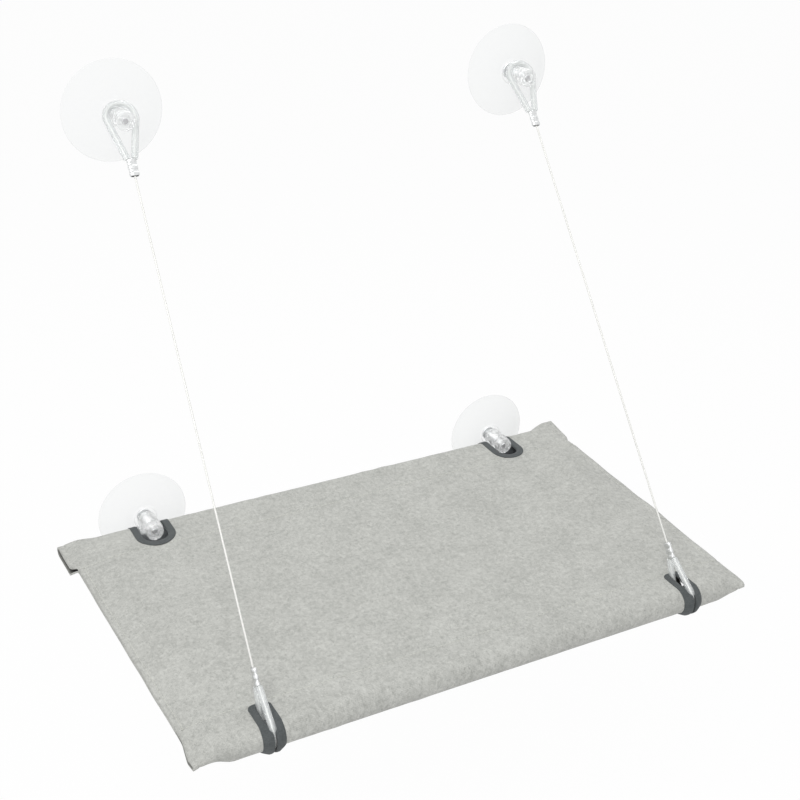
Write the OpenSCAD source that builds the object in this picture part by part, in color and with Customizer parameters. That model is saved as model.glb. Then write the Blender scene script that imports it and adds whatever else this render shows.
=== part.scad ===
// Window mounted cat perch: a canvas seat on a tube frame, held to a window pane by four
// suction cups. The rear rail turns in two clips on the lower cups, and two taut wires run
// from the upper cups to the front rail.
// Origin: on the glass, midway between the two lower cups. +X to the right, the room and the
// seat are towards -Y, +Z up.

/* [Suction cups] */
// Diameter of each cup pressed on the glass
cup_d = 87; // [76:1:98]
// Thickness of the cup's thin outer lip
cup_lip_t = 1.4; // [1:0.1:2.2]
// Width of the flat ring that seals on the glass
cup_seal_w = 3.5; // [2:0.5:6]
// Depth of the hollow under the middle of the cup
cup_hollow_h = 3.2; // [2.4:0.1:3.6]
// Height of the bell where it meets the boss
cup_bell_h = 8; // [6.5:0.1:8.4]
// Diameter of the boss in the middle of the cup
boss_d = 22; // [19:0.5:24]
// Distance from the glass to the end of the boss
boss_h = 13; // [12:0.5:16]
// Radius of the boss's rounded edge
boss_round = 3; // [2:0.5:4]
// Distance from a side bar's axis in to the middle of the cup beside it
cup_inset = 36; // [32:1:50]
// Distance between the lower and the upper cups
cup_span_z = 392; // [340:1:440]

/* [Studs and knobs] */
// Diameter of the threaded stud
stud_d = 5; // [4:0.5:6]
// Diameter of the stud's flat head inside the cup
stud_head_d = 14; // [11:0.5:16]
// Thickness of the stud's head
stud_head_t = 2.4; // [1.8:0.1:2.8]
// Diameter of the knob
knob_d = 17; // [15:0.5:17.5]
// Length of the knob
knob_l = 8; // [7:0.5:10]
// Rounding of the knob's edges
knob_round = 1.2; // [0.6:0.1:2]
// Diameter of the recess in the knob's outer end
knob_recess_d = 11; // [8:0.5:12]
// Depth of that recess
knob_recess_depth = 3; // [2:0.5:4]
// How far the stud's tip shows in the recess
stud_tip_l = 1; // [0.5:0.1:1.5]

/* [Rail clips and loop spools] */
// Diameter of the clip's barrel round the stud
clip_barrel_d = 18; // [16:0.5:19]
// Wall of the clip's hook round the rail
clip_wall = 2.5; // [2:0.1:2.8]
// Width of the clip along the rail
clip_w = 22; // [18:1:24]
// Plastic left between the stud and the rail
clip_web = 1.5; // [1.2:0.1:3]
// How far the rail's back lies behind the boss's end
rail_tuck = 1; // [0:0.1:1.2]
// Diameter of the spool that a wire's loop hangs on
spool_d = 13; // [11:0.5:14]
// Diameter of the spool's end flanges
spool_flange_d = 17.6; // [15:0.1:18]
// Thickness of each flange
spool_flange_t = 1.4; // [1:0.1:2]

/* [Frame] */
// Outer diameter of the rails and side bars
rail_d = 20; // [16:0.5:22]
// Wall of the frame tubes
tube_wall = 1.5; // [1:0.1:2.5]
// Distance between the axes of the rear and front rails
rail_span_y = 308; // [250:1:380]
// Distance between the axes of the two side bars
bar_span_x = 460; // [440:1:480]
// Bend radius of the corner elbows at the tube's axis
bend_r = 20; // [15:0.5:24]
// Length of the elbow's plug inside each tube
spigot_l = 18; // [12:1:30]

/* [Cover] */
// Thickness of the canvas
cloth_t = 1.7; // [1.2:0.1:2]
// How far the rear pocket reaches past a side bar's axis
rear_pocket_reach = 44.5; // [36:0.5:54]
// How far the front pocket reaches past a side bar's axis
front_pocket_reach = 37; // [36:0.5:50]
// How far the seat panel reaches past a side bar's axis at the rear rail
panel_rear_reach = 39; // [26:0.5:42]
// How far the seat panel reaches past a side bar's axis at the front rail
panel_front_reach = 31; // [26:0.5:35]
// Distance from the rear rail's axis to its stitch line
rear_stitch = 37; // [36:1:45]
// Distance from the front rail's axis to its stitch line
front_stitch = 27; // [25:1:38]
// How far past the start of an elbow's bend the pocket's underside is opened for it
bend_slot_lead = 3; // [1:0.1:3.5]
// Width of the rolled side hems
hem_w = 5; // [4:0.5:8]
// Thickness of a side hem below the panel
hem_t = 1.2; // [0.8:0.1:1.6]

/* [Bound cut-outs] */
// Width of the binding tape round each cut-out
tape_w = 6.5; // [5:0.5:8]
// Thickness of the binding tape
tape_t = 0.8; // [0.5:0.1:1]
// Free space beside a rail clip in its cut-out
rear_cut_clear = 1.5; // [1:0.1:4]
// Free space in front of a knob while the seat folds up
rear_cut_reach = 2.5; // [1.5:0.1:6]
// Free space beside a loop in its cut-out
front_cut_clear = 3; // [1.5:0.1:5]
// Depth of a front cut-out behind the rail's axis
front_cut_depth = 22.5; // [22:0.1:24]

/* [Wires] */
// Distance from a side bar's axis in to the loop on the front rail
loop_inset = 27; // [24:0.5:34]
// Diameter of the bare wire
wire_d = 1.6; // [1:0.1:2.4]
// Outer diameter of the clear sleeve on each loop
sleeve_d = 6; // [5:0.1:6.2]
// Distance from a loop's centre to the end of its sleeve
sleeve_reach = 36; // [32:1:42]
// Length of a ferrule
ferrule_l = 15; // [10:1:20]
// Width of a ferrule across the two strands
ferrule_w = 8.4; // [7:0.1:10]
// Thickness of a ferrule
ferrule_t = 4.6; // [3.6:0.1:6]
// Length of each of a ferrule's three collars between its crimps
ferrule_collar_l = 3.2; // [2:0.1:3.3]
// Depth of a crimp
crimp_depth = 0.5; // [0.2:0.1:0.8]

/* [Fits] */
// Radial running clearance of rails in clips and of knobs on studs
run_fit = 0.06; // [0.02:0.01:0.1]
// Radial clearance of parts that are fixed together
snug_fit = 0.05; // [0.02:0.01:0.1]
// Gap between flat faces that turn past each other
face_gap = 0.2; // [0.1:0.05:0.4]
// Gap between the canvas and the tube in it
cloth_gap = 0.3; // [0.2:0.05:0.5]
// Gap between the knob's edge and the bare rail below it
knob_rail_gap = 0.6; // [0.4:0.1:1.5]
// Gap between a loop's sleeve and what it hangs on
loop_gap = 0.2; // [0.1:0.05:0.4]
// Gap between a clip and the boss that it stands on
boss_gap = 0.3; // [0.2:0.05:0.5]

/* [Hidden] */
$fn = 72;

// Every cut runs past its faces by this much
overrun = 1;
left = -1;
right = 1;

cup_r = cup_d / 2;
boss_r = boss_d / 2;
stud_r = stud_d / 2;
knob_r = knob_d / 2;
spool_r = spool_d / 2;
rail_r = rail_d / 2;
sleeve_r = sleeve_d / 2;
bar_x = bar_span_x / 2;
cup_x = bar_x - cup_inset;
loop_x = bar_x - loop_inset;

// Rail axes, from the cups that carry them
rail_drop = stud_r + clip_web + rail_r;
rear_rail_y = boss_h + rail_r - rail_tuck;
front_rail_y = rear_rail_y + rail_span_y;

// Clips and spools end where the knob's lower edge clears the rail
knob_over_rail = rail_drop - knob_r;
adapter_end = rear_rail_y + sqrt(pow(rail_r + knob_rail_gap, 2) - pow(knob_over_rail, 2));
knob_start = adapter_end + face_gap;
knob_end = knob_start + knob_l;
stud_end = knob_end - knob_recess_depth + stud_tip_l;

// Canvas round the rails, whose curves are drawn with a corner at every arc_step degrees
wrap_in_r = rail_r + cloth_gap;
wrap_out_r = wrap_in_r + cloth_t;
arc_step = 10;

// The rear cut-outs clear the knobs at every angle of the seat
knob_sweep_r = norm([knob_end - rear_rail_y, rail_drop + knob_r]);
rear_cut_depth = sqrt(pow(knob_sweep_r + rear_cut_reach, 2) - pow(wrap_in_r, 2));
rear_cut_w = clip_w + 2 * rear_cut_clear;
front_cut_w = sleeve_d + 2 * front_cut_clear;

// The underside of each pocket is open where an elbow leads out of it
bar_slot_in = bar_x - bend_r + bend_slot_lead;
bar_slot_out = bar_x + rail_r + cloth_t;

// Wire lines, from the spools to the front rail
wire_rise = rail_drop + cup_span_z;
loop_lean = atan2(rail_span_y, wire_rise);
upper_path_r = (spool_r + sleeve_r + loop_gap) / cos(loop_lean);
lower_path_r = rail_r + sleeve_r + loop_gap;
spool_loop_y = boss_h + spool_flange_t + loop_gap + sleeve_r + upper_path_r * sin(loop_lean);
wire_run = front_rail_y - spool_loop_y;
wire_side = loop_x - cup_x;
wire_length = norm([wire_side, wire_run, wire_rise]);
wire_lean = atan2(wire_run, wire_rise);
wire_splay = asin(wire_side / wire_length);
strand_x = sleeve_r + loop_gap / 2;
loop_end = sleeve_reach + ferrule_l;

function arc(radius, from, to) =
    let (steps = max(2, ceil(abs(to - from) / arc_step)))
    [for (i = [0:steps]) let (a = from + (to - from) * i / steps) radius * [cos(a), sin(a)]];
function reversed(list) = [for (i = [len(list) - 1:-1:0]) list[i]];
function spool_centre(side) = [side * cup_x, -spool_loop_y, cup_span_z];
function loop_centre(side) = [side * loop_x, -front_rail_y, -rail_drop];

// Children drawn round a vertical axis point from the glass into the room
module from_glass(x, z) {
    translate([x, 0, z]) rotate([90, 0, 0]) children();
}

// Profiles drawn as [towards the room, up] are swept along X
module along_x(width) {
    rotate([90, 0, -90]) linear_extrude(height = width, center = true) children();
}

// Children see +Z up the wire, towards the window
module along_wire(side, at) {
    translate(at) rotate([-wire_lean, 0, 0]) rotate([0, -side * wire_splay, 0]) children();
}

// The bell's surface falls from its top at the boss to its rim, faster towards the rim
bell_steps = 8;
bell_power = 1.7;
function bell(inner_r, outer_r, top, rim) = [
    for (i = [0:bell_steps]) let (s = i / bell_steps)
        [inner_r + (outer_r - inner_r) * s, top - (top - rim) * pow(s, bell_power)]
];

module cup(x, z) {
    head_r = stud_head_d / 2 + snug_fit;
    head_top = cup_hollow_h + stud_head_t;
    edge = [for (p = arc(boss_round, 90, 0)) [boss_r - boss_round, boss_h - boss_round] + p];
    outside = bell(boss_r, cup_r, cup_bell_h, cup_lip_t);
    hollow = reversed(bell(head_r, cup_r - cup_seal_w, cup_hollow_h, 0));
    bore = [[head_r, head_top], [stud_r + snug_fit, head_top], [stud_r + snug_fit, boss_h]];
    color([0.93, 0.95, 0.95, 0.5]) from_glass(x, z)
        rotate_extrude() polygon(concat(edge, outside, [[cup_r, 0]], hollow, bore));
}

// A flat head moulded into the cup, and a threaded shank
module stud(x, z) {
    color("silver") from_glass(x, z) translate([0, 0, cup_hollow_h]) {
        cylinder(d = stud_head_d, h = stud_head_t);
        cylinder(r = stud_r, h = stud_end - cup_hollow_h);
    }
}

// A smooth thumb nut with rounded edges and a recessed outer end
module knob(x, z) {
    bore_r = stud_r + run_fit;
    recess_r = knob_recess_d / 2;
    recess_floor = knob_l - knob_recess_depth;
    edge_r = knob_r - knob_round;
    back = [for (p = arc(knob_round, -90, 0)) [edge_r, knob_round] + p];
    front = [for (p = arc(knob_round, 0, 90)) [edge_r, knob_l - knob_round] + p];
    recess = [[recess_r, knob_l], [recess_r, recess_floor], [bore_r, recess_floor], [bore_r, 0]];
    color([0.9, 0.92, 0.92, 0.5]) from_glass(x, z) translate([0, 0, knob_start])
        rotate_extrude() polygon(concat(back, front, recess));
}

// A flanged bobbin on the stud, which keeps the loop off the thread
module loop_spool(side) {
    length = adapter_end - boss_h;
    bore_r = stud_r + snug_fit;
    flange_r = spool_flange_d / 2;
    far_flange = length - spool_flange_t;
    color([0.9, 0.92, 0.92, 0.5]) from_glass(side * cup_x, cup_span_z) translate([0, 0, boss_h])
        rotate_extrude() polygon([
            [bore_r, 0], [flange_r, 0], [flange_r, spool_flange_t], [spool_r, spool_flange_t],
            [spool_r, far_flange], [flange_r, far_flange], [flange_r, length], [bore_r, length]
        ]);
}

// The hook is open between these two angles at the rail's axis, counted up from the front
mouth_low = -62;
mouth_high = 52;

// A barrel on the stud with a hook below it, which the rear rail snaps into and turns in
module rail_clip(side) {
    hook_in = rail_r + run_fit;
    hook_out = hook_in + clip_wall;
    mouth_r = 2 * hook_out;
    mouth = [for (a = [mouth_low, (mouth_low + mouth_high) / 2, mouth_high]) mouth_r * [cos(a), sin(a)]];
    rail_at = [side * cup_x, -rear_rail_y, -rail_drop];
    color([0.9, 0.92, 0.92, 0.5]) difference() {
        union() {
            from_glass(side * cup_x, 0) translate([0, 0, boss_h])
                cylinder(d = clip_barrel_d, h = adapter_end - boss_h);
            translate(rail_at) along_x(clip_w) difference() {
                circle(r = hook_out);
                polygon(concat([[0, 0]], mouth));
            }
        }
        translate(rail_at) along_x(clip_w + 2 * overrun) circle(r = hook_in);
        from_glass(side * cup_x, 0) cylinder(r = boss_r + boss_gap, h = boss_h);
        from_glass(side * cup_x, 0) cylinder(r = stud_r + snug_fit, h = adapter_end + overrun);
    }
}

// Half of a loop's centre line as [across, away from the loop's back], from its end to its back
leg_steps = 3;
function loop_half(radius) =
    let (
        start = [strand_x, sleeve_reach],
        touch = atan2(start[1], start[0]) - acos(radius / norm(start)),
        leave = radius * [cos(touch), sin(touch)]
    )
    concat([for (i = [0:leg_steps - 1]) start + (leave - start) * i / leg_steps], arc(radius, touch, -90));
function loop_path(radius) =
    let (half = loop_half(radius))
    concat(half, [for (i = [len(half) - 2:-1:0]) [-half[i][0], half[i][1]]]);

// The path's direction, which is straight along the wire where a sleeve ends
function loop_way(path, i) =
    i == 0 ? [0, -1] : i == len(path) - 1 ? [0, 1] : path[i + 1] - path[i - 1];

// A round sleeve bent into a loop in the X and Z plane, with its two ends at the top
sleeve_sides = 10;
module sleeve(radius) {
    path = loop_path(radius);
    last = len(path) - 1;
    rings = [
        for (i = [0:last]) for (k = [0:sleeve_sides - 1])
            let (w = loop_way(path, i), a = 360 * k / sleeve_sides, across = sleeve_r * cos(a) / norm(w))
            [path[i][0] + across * w[1], sleeve_r * sin(a), path[i][1] - across * w[0]]
    ];
    walls = [
        for (i = [0:last - 1]) for (k = [0:sleeve_sides - 1])
            let (a = i * sleeve_sides, b = a + sleeve_sides, m = (k + 1) % sleeve_sides)
            each [[a + k, b + k, b + m], [a + k, b + m, a + m]]
    ];
    ends = [
        [for (k = [0:sleeve_sides - 1]) k],
        [for (k = [sleeve_sides - 1:-1:0]) last * sleeve_sides + k]
    ];
    polyhedron(points = rings, faces = concat(walls, ends));
}

// The upper loop hangs flat across the window, its ends down the wire
module upper_loop(side) {
    color([0.88, 0.9, 0.9, 0.6]) along_wire(side, spool_centre(side))
        rotate([0, 180, 0]) sleeve(upper_path_r);
}

// The lower loop goes round the front rail, its ends up the wire
module lower_loop(side) {
    color([0.88, 0.9, 0.9, 0.6]) along_wire(side, loop_centre(side))
        rotate([0, 0, 90]) sleeve(lower_path_r);
}

function rounded_bar(width, thick) =
    let (r = thick / 2, c = [width / 2 - r, 0])
    concat([for (p = arc(r, -90, 90)) c + p], [for (p = arc(r, 90, 270)) p - c]);

// An oval sleeve crimped twice on the two strands of a loop
module ferrule() {
    linear_extrude(height = ferrule_l)
        polygon(rounded_bar(ferrule_w - 2 * crimp_depth, ferrule_t - 2 * crimp_depth));
    for (i = [0:2]) translate([0, 0, i * (ferrule_l - ferrule_collar_l) / 2])
        linear_extrude(height = ferrule_collar_l) polygon(rounded_bar(ferrule_w, ferrule_t));
}

module upper_ferrule(side) {
    color("lightgray") along_wire(side, spool_centre(side)) translate([0, 0, -loop_end]) ferrule();
}

module lower_ferrule(side) {
    color("lightgray") along_wire(side, loop_centre(side))
        translate([0, 0, sleeve_reach]) rotate([0, 0, 90]) ferrule();
}

// The free stretch of a wire between its two ferrules
module wire(side) {
    color("gainsboro") along_wire(side, loop_centre(side)) translate([0, 0, loop_end])
        cylinder(d = wire_d, h = wire_length - 2 * loop_end);
}

module tube(length) {
    difference() {
        cylinder(r = rail_r, h = length, center = true);
        cylinder(r = rail_r - tube_wall, h = length + 2 * overrun, center = true);
    }
}

module rail(y) {
    color([0.3, 0.31, 0.32]) translate([0, -y, -rail_drop]) rotate([0, 90, 0])
        tube(2 * (bar_x - bend_r));
}

module side_bar(side) {
    color([0.3, 0.31, 0.32]) translate([side * bar_x, -(rear_rail_y + front_rail_y) / 2, -rail_drop])
        rotate([90, 0, 0]) tube(rail_span_y - 2 * bend_r);
}

// A quarter bend flush with the tubes, plugged into a rail and a side bar
module elbow(side, y, turn) {
    spigot_r = rail_r - tube_wall - snug_fit;
    color([0.24, 0.25, 0.26]) translate([side * (bar_x - bend_r), -y, -rail_drop]) rotate([0, 0, turn]) {
        rotate_extrude(angle = 90) translate([bend_r, 0]) circle(r = rail_r);
        translate([0, bend_r, 0]) rotate([0, -90, 0]) cylinder(r = spigot_r, h = spigot_l);
        translate([bend_r, 0, 0]) rotate([90, 0, 0]) cylinder(r = spigot_r, h = spigot_l);
    }
}

// Outline of a cut-out as [along the rail, inwards from the rail's axis], round at its inner end
function cut_outline(width, depth, back) =
    let (r = width / 2)
    concat([[r, -back]], [for (p = arc(r, 0, 180)) [0, depth - r] + p], [[-r, -back]]);

module cut_shape(x, axis_y, inwards, width, depth) {
    polygon([
        for (p = cut_outline(width, depth, wrap_out_r + tape_t + overrun))
            [x + p[0], inwards * p[1] - axis_y]
    ]);
}

module rear_cut(side, border) {
    cut_shape(side * cup_x, rear_rail_y, -1, rear_cut_w + 2 * border, rear_cut_depth + border);
}

module front_cut(side, border) {
    cut_shape(side * loop_x, front_rail_y, 1, front_cut_w + 2 * border, front_cut_depth + border);
}

module through_seat() {
    tall = 2 * (wrap_out_r + tape_t + overrun);
    translate([0, 0, -rail_drop]) linear_extrude(height = tall, center = true) children();
}

function panel_edge(y) =
    bar_x + panel_rear_reach + (panel_front_reach - panel_rear_reach) * (y - rear_rail_y) / rail_span_y;

// The flat seat over both rails, with its rolled side hems
module seat_panel() {
    hem_start = rear_rail_y + rear_stitch + overrun;
    hem_end = front_rail_y - front_stitch - overrun;
    color([0.74, 0.75, 0.72]) translate([0, 0, wrap_in_r - rail_drop]) {
        linear_extrude(height = cloth_t) difference() {
            polygon([
                [-panel_edge(rear_rail_y), -rear_rail_y], [panel_edge(rear_rail_y), -rear_rail_y],
                [panel_edge(front_rail_y), -front_rail_y], [-panel_edge(front_rail_y), -front_rail_y]
            ]);
            for (side = [left, right]) {
                rear_cut(side, 0);
                front_cut(side, 0);
            }
        }
        for (side = [left, right]) translate([0, 0, -hem_t]) linear_extrude(height = hem_t)
            polygon([
                [side * panel_edge(hem_start), -hem_start], [side * panel_edge(hem_end), -hem_end],
                [side * (panel_edge(hem_end) - hem_w), -hem_end],
                [side * (panel_edge(hem_start) - hem_w), -hem_start]
            ]);
    }
}

// Where the flap that rises to the stitch line leaves the round of the rail
function flap_touch(stitch) = atan2(wrap_in_r, stitch) - acos(wrap_out_r / norm([stitch, wrap_in_r]));

// Canvas round a rail, from its crown round the outside and up to the stitch line
function pocket_profile(stitch) =
    let (
        touch = flap_touch(stitch),
        outer = arc(wrap_out_r, 90, 360 + touch),
        inner = arc(wrap_in_r, 90, 360 + touch),
        end = [stitch, wrap_in_r],
        flap = end - outer[len(outer) - 1],
        foot = inner[len(inner) - 1],
        inner_end = foot + flap * (wrap_in_r - foot[1]) / flap[1]
    )
    concat(outer, [end, inner_end], reversed(inner));

// The tape's band on the outside of that canvas, and on the panel beside it
tape_flap_share = 0.88;
function tape_profile(stitch, reach) =
    let (
        touch = flap_touch(stitch),
        inner = arc(wrap_out_r, 90, 360 + touch),
        outer = arc(wrap_out_r + tape_t, 90, 360 + touch),
        foot = inner[len(inner) - 1],
        flap_end = foot + ([stitch, wrap_in_r] - foot) * tape_flap_share,
        flap_out = flap_end + tape_t * [cos(touch), sin(touch)]
    )
    concat(
        [[reach, wrap_out_r + tape_t]], outer, [flap_out, flap_end], reversed(inner), [[reach, wrap_out_r]]
    );

// A pocket at axis_y whose flap runs inwards, -1 from the rear rail and 1 from the front one
module pocket(axis_y, inwards, width, stitch) {
    turn = inwards < 0 ? 0 : 180;
    slot_w = bar_slot_out - bar_slot_in;
    color([0.72, 0.73, 0.7]) difference() {
        translate([0, -axis_y, -rail_drop]) rotate([0, 0, turn]) difference() {
            along_x(width) polygon(pocket_profile(stitch));
            for (side = [left, right])
                translate([side * (bar_slot_in + bar_slot_out) / 2, 0, 0]) along_x(slot_w)
                    translate([0, -wrap_out_r - overrun])
                    square([stitch + overrun, wrap_out_r + wrap_in_r + overrun]);
        }
        through_seat() children();
    }
}

module rear_pocket() {
    pocket(rear_rail_y, -1, 2 * (bar_x + rear_pocket_reach), rear_stitch) {
        for (side = [left, right]) rear_cut(side, 0);
    }
}

module front_pocket() {
    pocket(front_rail_y, 1, 2 * (bar_x + front_pocket_reach), front_stitch) {
        for (side = [left, right]) front_cut(side, 0);
    }
}

module rear_binding(side) {
    width = rear_cut_w + 2 * tape_w + 2 * overrun;
    reach = rear_cut_depth + tape_w + overrun;
    color([0.33, 0.35, 0.36]) intersection() {
        translate([side * cup_x, -rear_rail_y, -rail_drop]) along_x(width)
            polygon(tape_profile(rear_stitch, reach));
        through_seat() difference() {
            rear_cut(side, tape_w);
            rear_cut(side, 0);
        }
    }
}

module front_binding(side) {
    width = front_cut_w + 2 * tape_w + 2 * overrun;
    reach = front_cut_depth + tape_w + overrun;
    color([0.33, 0.35, 0.36]) intersection() {
        translate([side * loop_x, -front_rail_y, -rail_drop]) rotate([0, 0, 180]) along_x(width)
            polygon(tape_profile(front_stitch, reach));
        through_seat() difference() {
            front_cut(side, tape_w);
            front_cut(side, 0);
        }
    }
}

cup(-cup_x, cup_span_z);  // cup_upper_left
cup(cup_x, cup_span_z);  // cup_upper_right
cup(-cup_x, 0);  // cup_lower_left
cup(cup_x, 0);  // cup_lower_right
stud(-cup_x, cup_span_z);  // stud_upper_left
stud(cup_x, cup_span_z);  // stud_upper_right
stud(-cup_x, 0);  // stud_lower_left
stud(cup_x, 0);  // stud_lower_right
knob(-cup_x, cup_span_z);  // knob_upper_left
knob(cup_x, cup_span_z);  // knob_upper_right
knob(-cup_x, 0);  // knob_lower_left
knob(cup_x, 0);  // knob_lower_right
loop_spool(left);  // loop_spool_left
loop_spool(right);  // loop_spool_right
rail_clip(left);  // rail_clip_left
rail_clip(right);  // rail_clip_right
upper_loop(left);  // upper_loop_left
upper_loop(right);  // upper_loop_right
upper_ferrule(left);  // upper_ferrule_left
upper_ferrule(right);  // upper_ferrule_right
wire(left);  // wire_left
wire(right);  // wire_right
lower_ferrule(left);  // lower_ferrule_left
lower_ferrule(right);  // lower_ferrule_right
lower_loop(left);  // lower_loop_left
lower_loop(right);  // lower_loop_right
rail(rear_rail_y);  // rear_rail
rail(front_rail_y);  // front_rail
side_bar(left);  // side_bar_left
side_bar(right);  // side_bar_right
elbow(left, rear_rail_y + bend_r, 90);  // elbow_rear_left
elbow(right, rear_rail_y + bend_r, 0);  // elbow_rear_right
elbow(left, front_rail_y - bend_r, 180);  // elbow_front_left
elbow(right, front_rail_y - bend_r, 270);  // elbow_front_right
seat_panel();
rear_pocket();
front_pocket();
rear_binding(left);  // rear_binding_left
rear_binding(right);  // rear_binding_right
front_binding(left);  // front_binding_left
front_binding(right);  // front_binding_right
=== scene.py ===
import math

import bmesh
import bpy
import numpy as np
from mathutils import Matrix, Vector


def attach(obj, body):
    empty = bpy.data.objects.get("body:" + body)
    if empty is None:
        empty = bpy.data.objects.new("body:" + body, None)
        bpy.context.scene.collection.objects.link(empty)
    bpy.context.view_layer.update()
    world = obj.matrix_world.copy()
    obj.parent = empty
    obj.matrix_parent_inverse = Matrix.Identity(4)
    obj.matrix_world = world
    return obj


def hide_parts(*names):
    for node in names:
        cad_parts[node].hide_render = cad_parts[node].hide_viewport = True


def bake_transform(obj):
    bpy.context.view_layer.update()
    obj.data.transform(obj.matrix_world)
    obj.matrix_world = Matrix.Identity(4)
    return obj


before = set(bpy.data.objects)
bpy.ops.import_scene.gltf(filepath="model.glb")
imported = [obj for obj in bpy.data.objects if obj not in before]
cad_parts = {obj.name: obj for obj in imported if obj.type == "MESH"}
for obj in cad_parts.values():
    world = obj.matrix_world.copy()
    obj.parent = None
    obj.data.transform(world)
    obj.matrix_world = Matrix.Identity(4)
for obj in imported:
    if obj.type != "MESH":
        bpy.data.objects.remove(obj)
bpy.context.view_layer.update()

# The camera stands in the room, to the left of the seat and above it, and leans a little to
# one side. Its place and its long lens come from the cups, loops and corners in the picture.
aim, distance = Vector((0.00416, -0.15, 0.14703)), 1.18407
azimuth, elevation, roll = (math.radians(angle) for angle in (-28.742, 26.65, 1.403))
back = Vector((
    math.sin(azimuth) * math.cos(elevation),
    -math.cos(azimuth) * math.cos(elevation),
    math.sin(elevation),
))
level = Vector((math.cos(azimuth), math.sin(azimuth), 0))
upright = back.cross(level)
picture_right = math.cos(roll) * level + math.sin(roll) * upright
picture_up = math.cos(roll) * upright - math.sin(roll) * level
camera = bpy.data.objects.new("camera", bpy.data.cameras.new("camera"))
bpy.context.scene.collection.objects.link(camera)
camera.data.lens = 59.798
turn = Matrix((picture_right, picture_up, back)).transposed().to_4x4()
camera.matrix_world = Matrix.Translation(aim + back * distance) @ turn
bpy.context.scene.camera = camera
bpy.context.scene.view_settings.view_transform = "Standard"

# Two suspension wires, 1.6 mm steel rope in a thin clear coat. Each runs taut from a ferrule
# under its upper cup to one over the front rail. The real wire goes slack as the seat folds up;
# this one is drawn taut, fixed in the room.
SIDES = {"left": -1, "right": 1}
cup_x, cup_span_z, spool_y = 0.194, 0.392, -0.024961
front_loop_x, rear_y, front_y, rail_z = 0.203, -0.022, -0.330, -0.014
spool_place = {side: Vector((sign * cup_x, spool_y, cup_span_z)) for side, sign in SIDES.items()}
rail_place = {side: Vector((sign * front_loop_x, front_y, rail_z)) for side, sign in SIDES.items()}
loop_end, wire_r, wire_steps = 0.051, 0.0008, 420
strands, lay_length, strand_depth = 6, 0.009, 0.018


def faces_over(count, sides, first=0, loop=False):
    """Faces that join a row of rings, whose ends are closed, or in a loop joined to each other."""
    faces = []
    for i in range(count if loop else count - 1):
        here, there = first + i * sides, first + (i + 1) % count * sides
        for j in range(sides):
            onward = (j + 1) % sides
            faces.append((here + j, here + onward, there + onward, there + j))
    if not loop:
        last = first + (count - 1) * sides
        faces += [tuple(range(first, first + sides))[::-1], tuple(range(last, last + sides))]
    return faces


def skin(name, rings, sharp, loop=False):
    """One surface over a row of rings of points.

    Edges that turn by more than the sharp angle, in degrees, are not smoothed."""
    faces = faces_over(len(rings), len(rings[0]), loop=loop)
    mesh = bpy.data.meshes.new(name)
    mesh.from_pydata([tuple(point) for ring in rings for point in ring], [], faces)
    form = bmesh.new()
    form.from_mesh(mesh)
    bmesh.ops.recalc_face_normals(form, faces=form.faces)
    form.to_mesh(mesh)
    form.free()
    mesh.shade_smooth()
    mesh.set_sharp_from_angle(angle=math.radians(sharp))
    mesh.update()
    piece = bpy.data.objects.new(name, mesh)
    bpy.context.scene.collection.objects.link(piece)
    return piece


def rings_along(path, radius, sides):
    """Rings round a line of points, carried along it without turning.

    radius is a number, or a function of the angle and of the distance gone."""
    path = [Vector(point) for point in path]
    last = len(path) - 1
    ways = [(path[min(i + 1, last)] - path[max(i - 1, 0)]).normalized() for i in range(last + 1)]
    side = ways[0].orthogonal().normalized()
    rings, gone = [], 0.0
    for i, (point, way) in enumerate(zip(path, ways)):
        gone += (point - path[i - 1]).length if i else 0
        side = (side - way * side.dot(way)).normalized()
        over = way.cross(side)
        ring = []
        for j in range(sides):
            angle = 2 * math.pi * j / sides
            r = radius(angle, gone) if callable(radius) else radius
            ring.append(point + (side * math.cos(angle) + over * math.sin(angle)) * r)
        rings.append(ring)
    return rings


def finish_of(name, colour, roughness, metal=0.0, **more):
    """A material whose even values sit on its own shader."""
    material = bpy.data.materials.new(name)
    material.use_nodes = True
    shader = material.node_tree.nodes["Principled BSDF"]
    shader.inputs["Base Color"].default_value = (*colour, 1)
    shader.inputs["Roughness"].default_value = roughness
    shader.inputs["Metallic"].default_value = metal
    for socket, value in more.items():
        shader.inputs[socket.replace("_", " ")].default_value = value
    return material


def between_shades(tree, amount, shades, spread):
    """A colour that goes from the first shade to the second as the amount goes over the spread."""
    ramp = tree.nodes.new("ShaderNodeValToRGB")
    for stop, position, shade in zip(ramp.color_ramp.elements, spread, shades):
        stop.position, stop.color = position, (*shade, 1)
    tree.links.new(amount, ramp.inputs["Fac"])
    return ramp.outputs["Color"]


def grain(material, scale, shades, bump, detail=4.0, distance=0.001):
    """Colour that wanders between two shades, where they are given, and relief that goes with it."""
    tree = material.node_tree
    add, link, shader = tree.nodes.new, tree.links.new, tree.nodes["Principled BSDF"]
    place, noise, relief = add("ShaderNodeTexCoord"), add("ShaderNodeTexNoise"), add("ShaderNodeBump")
    noise.inputs["Scale"].default_value, noise.inputs["Detail"].default_value = scale, detail
    link(place.outputs["Object"], noise.inputs["Vector"])
    if shades:
        colour = between_shades(tree, noise.outputs["Fac"], shades, (0.3, 0.7))
        link(colour, shader.inputs["Base Color"])
    relief.inputs["Strength"].default_value, relief.inputs["Distance"].default_value = bump, distance
    link(noise.outputs["Fac"], relief.inputs["Height"])
    link(relief.outputs["Normal"], shader.inputs["Normal"])


def rope_r(angle, gone):
    """Six strands laid round each other, under a coat that fills their gaps a little."""
    strand = abs(math.cos(strands / 2 * (angle - 2 * math.pi * gone / lay_length)))
    return wire_r * (1 - strand_depth + strand_depth * strand ** 0.7)


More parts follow.
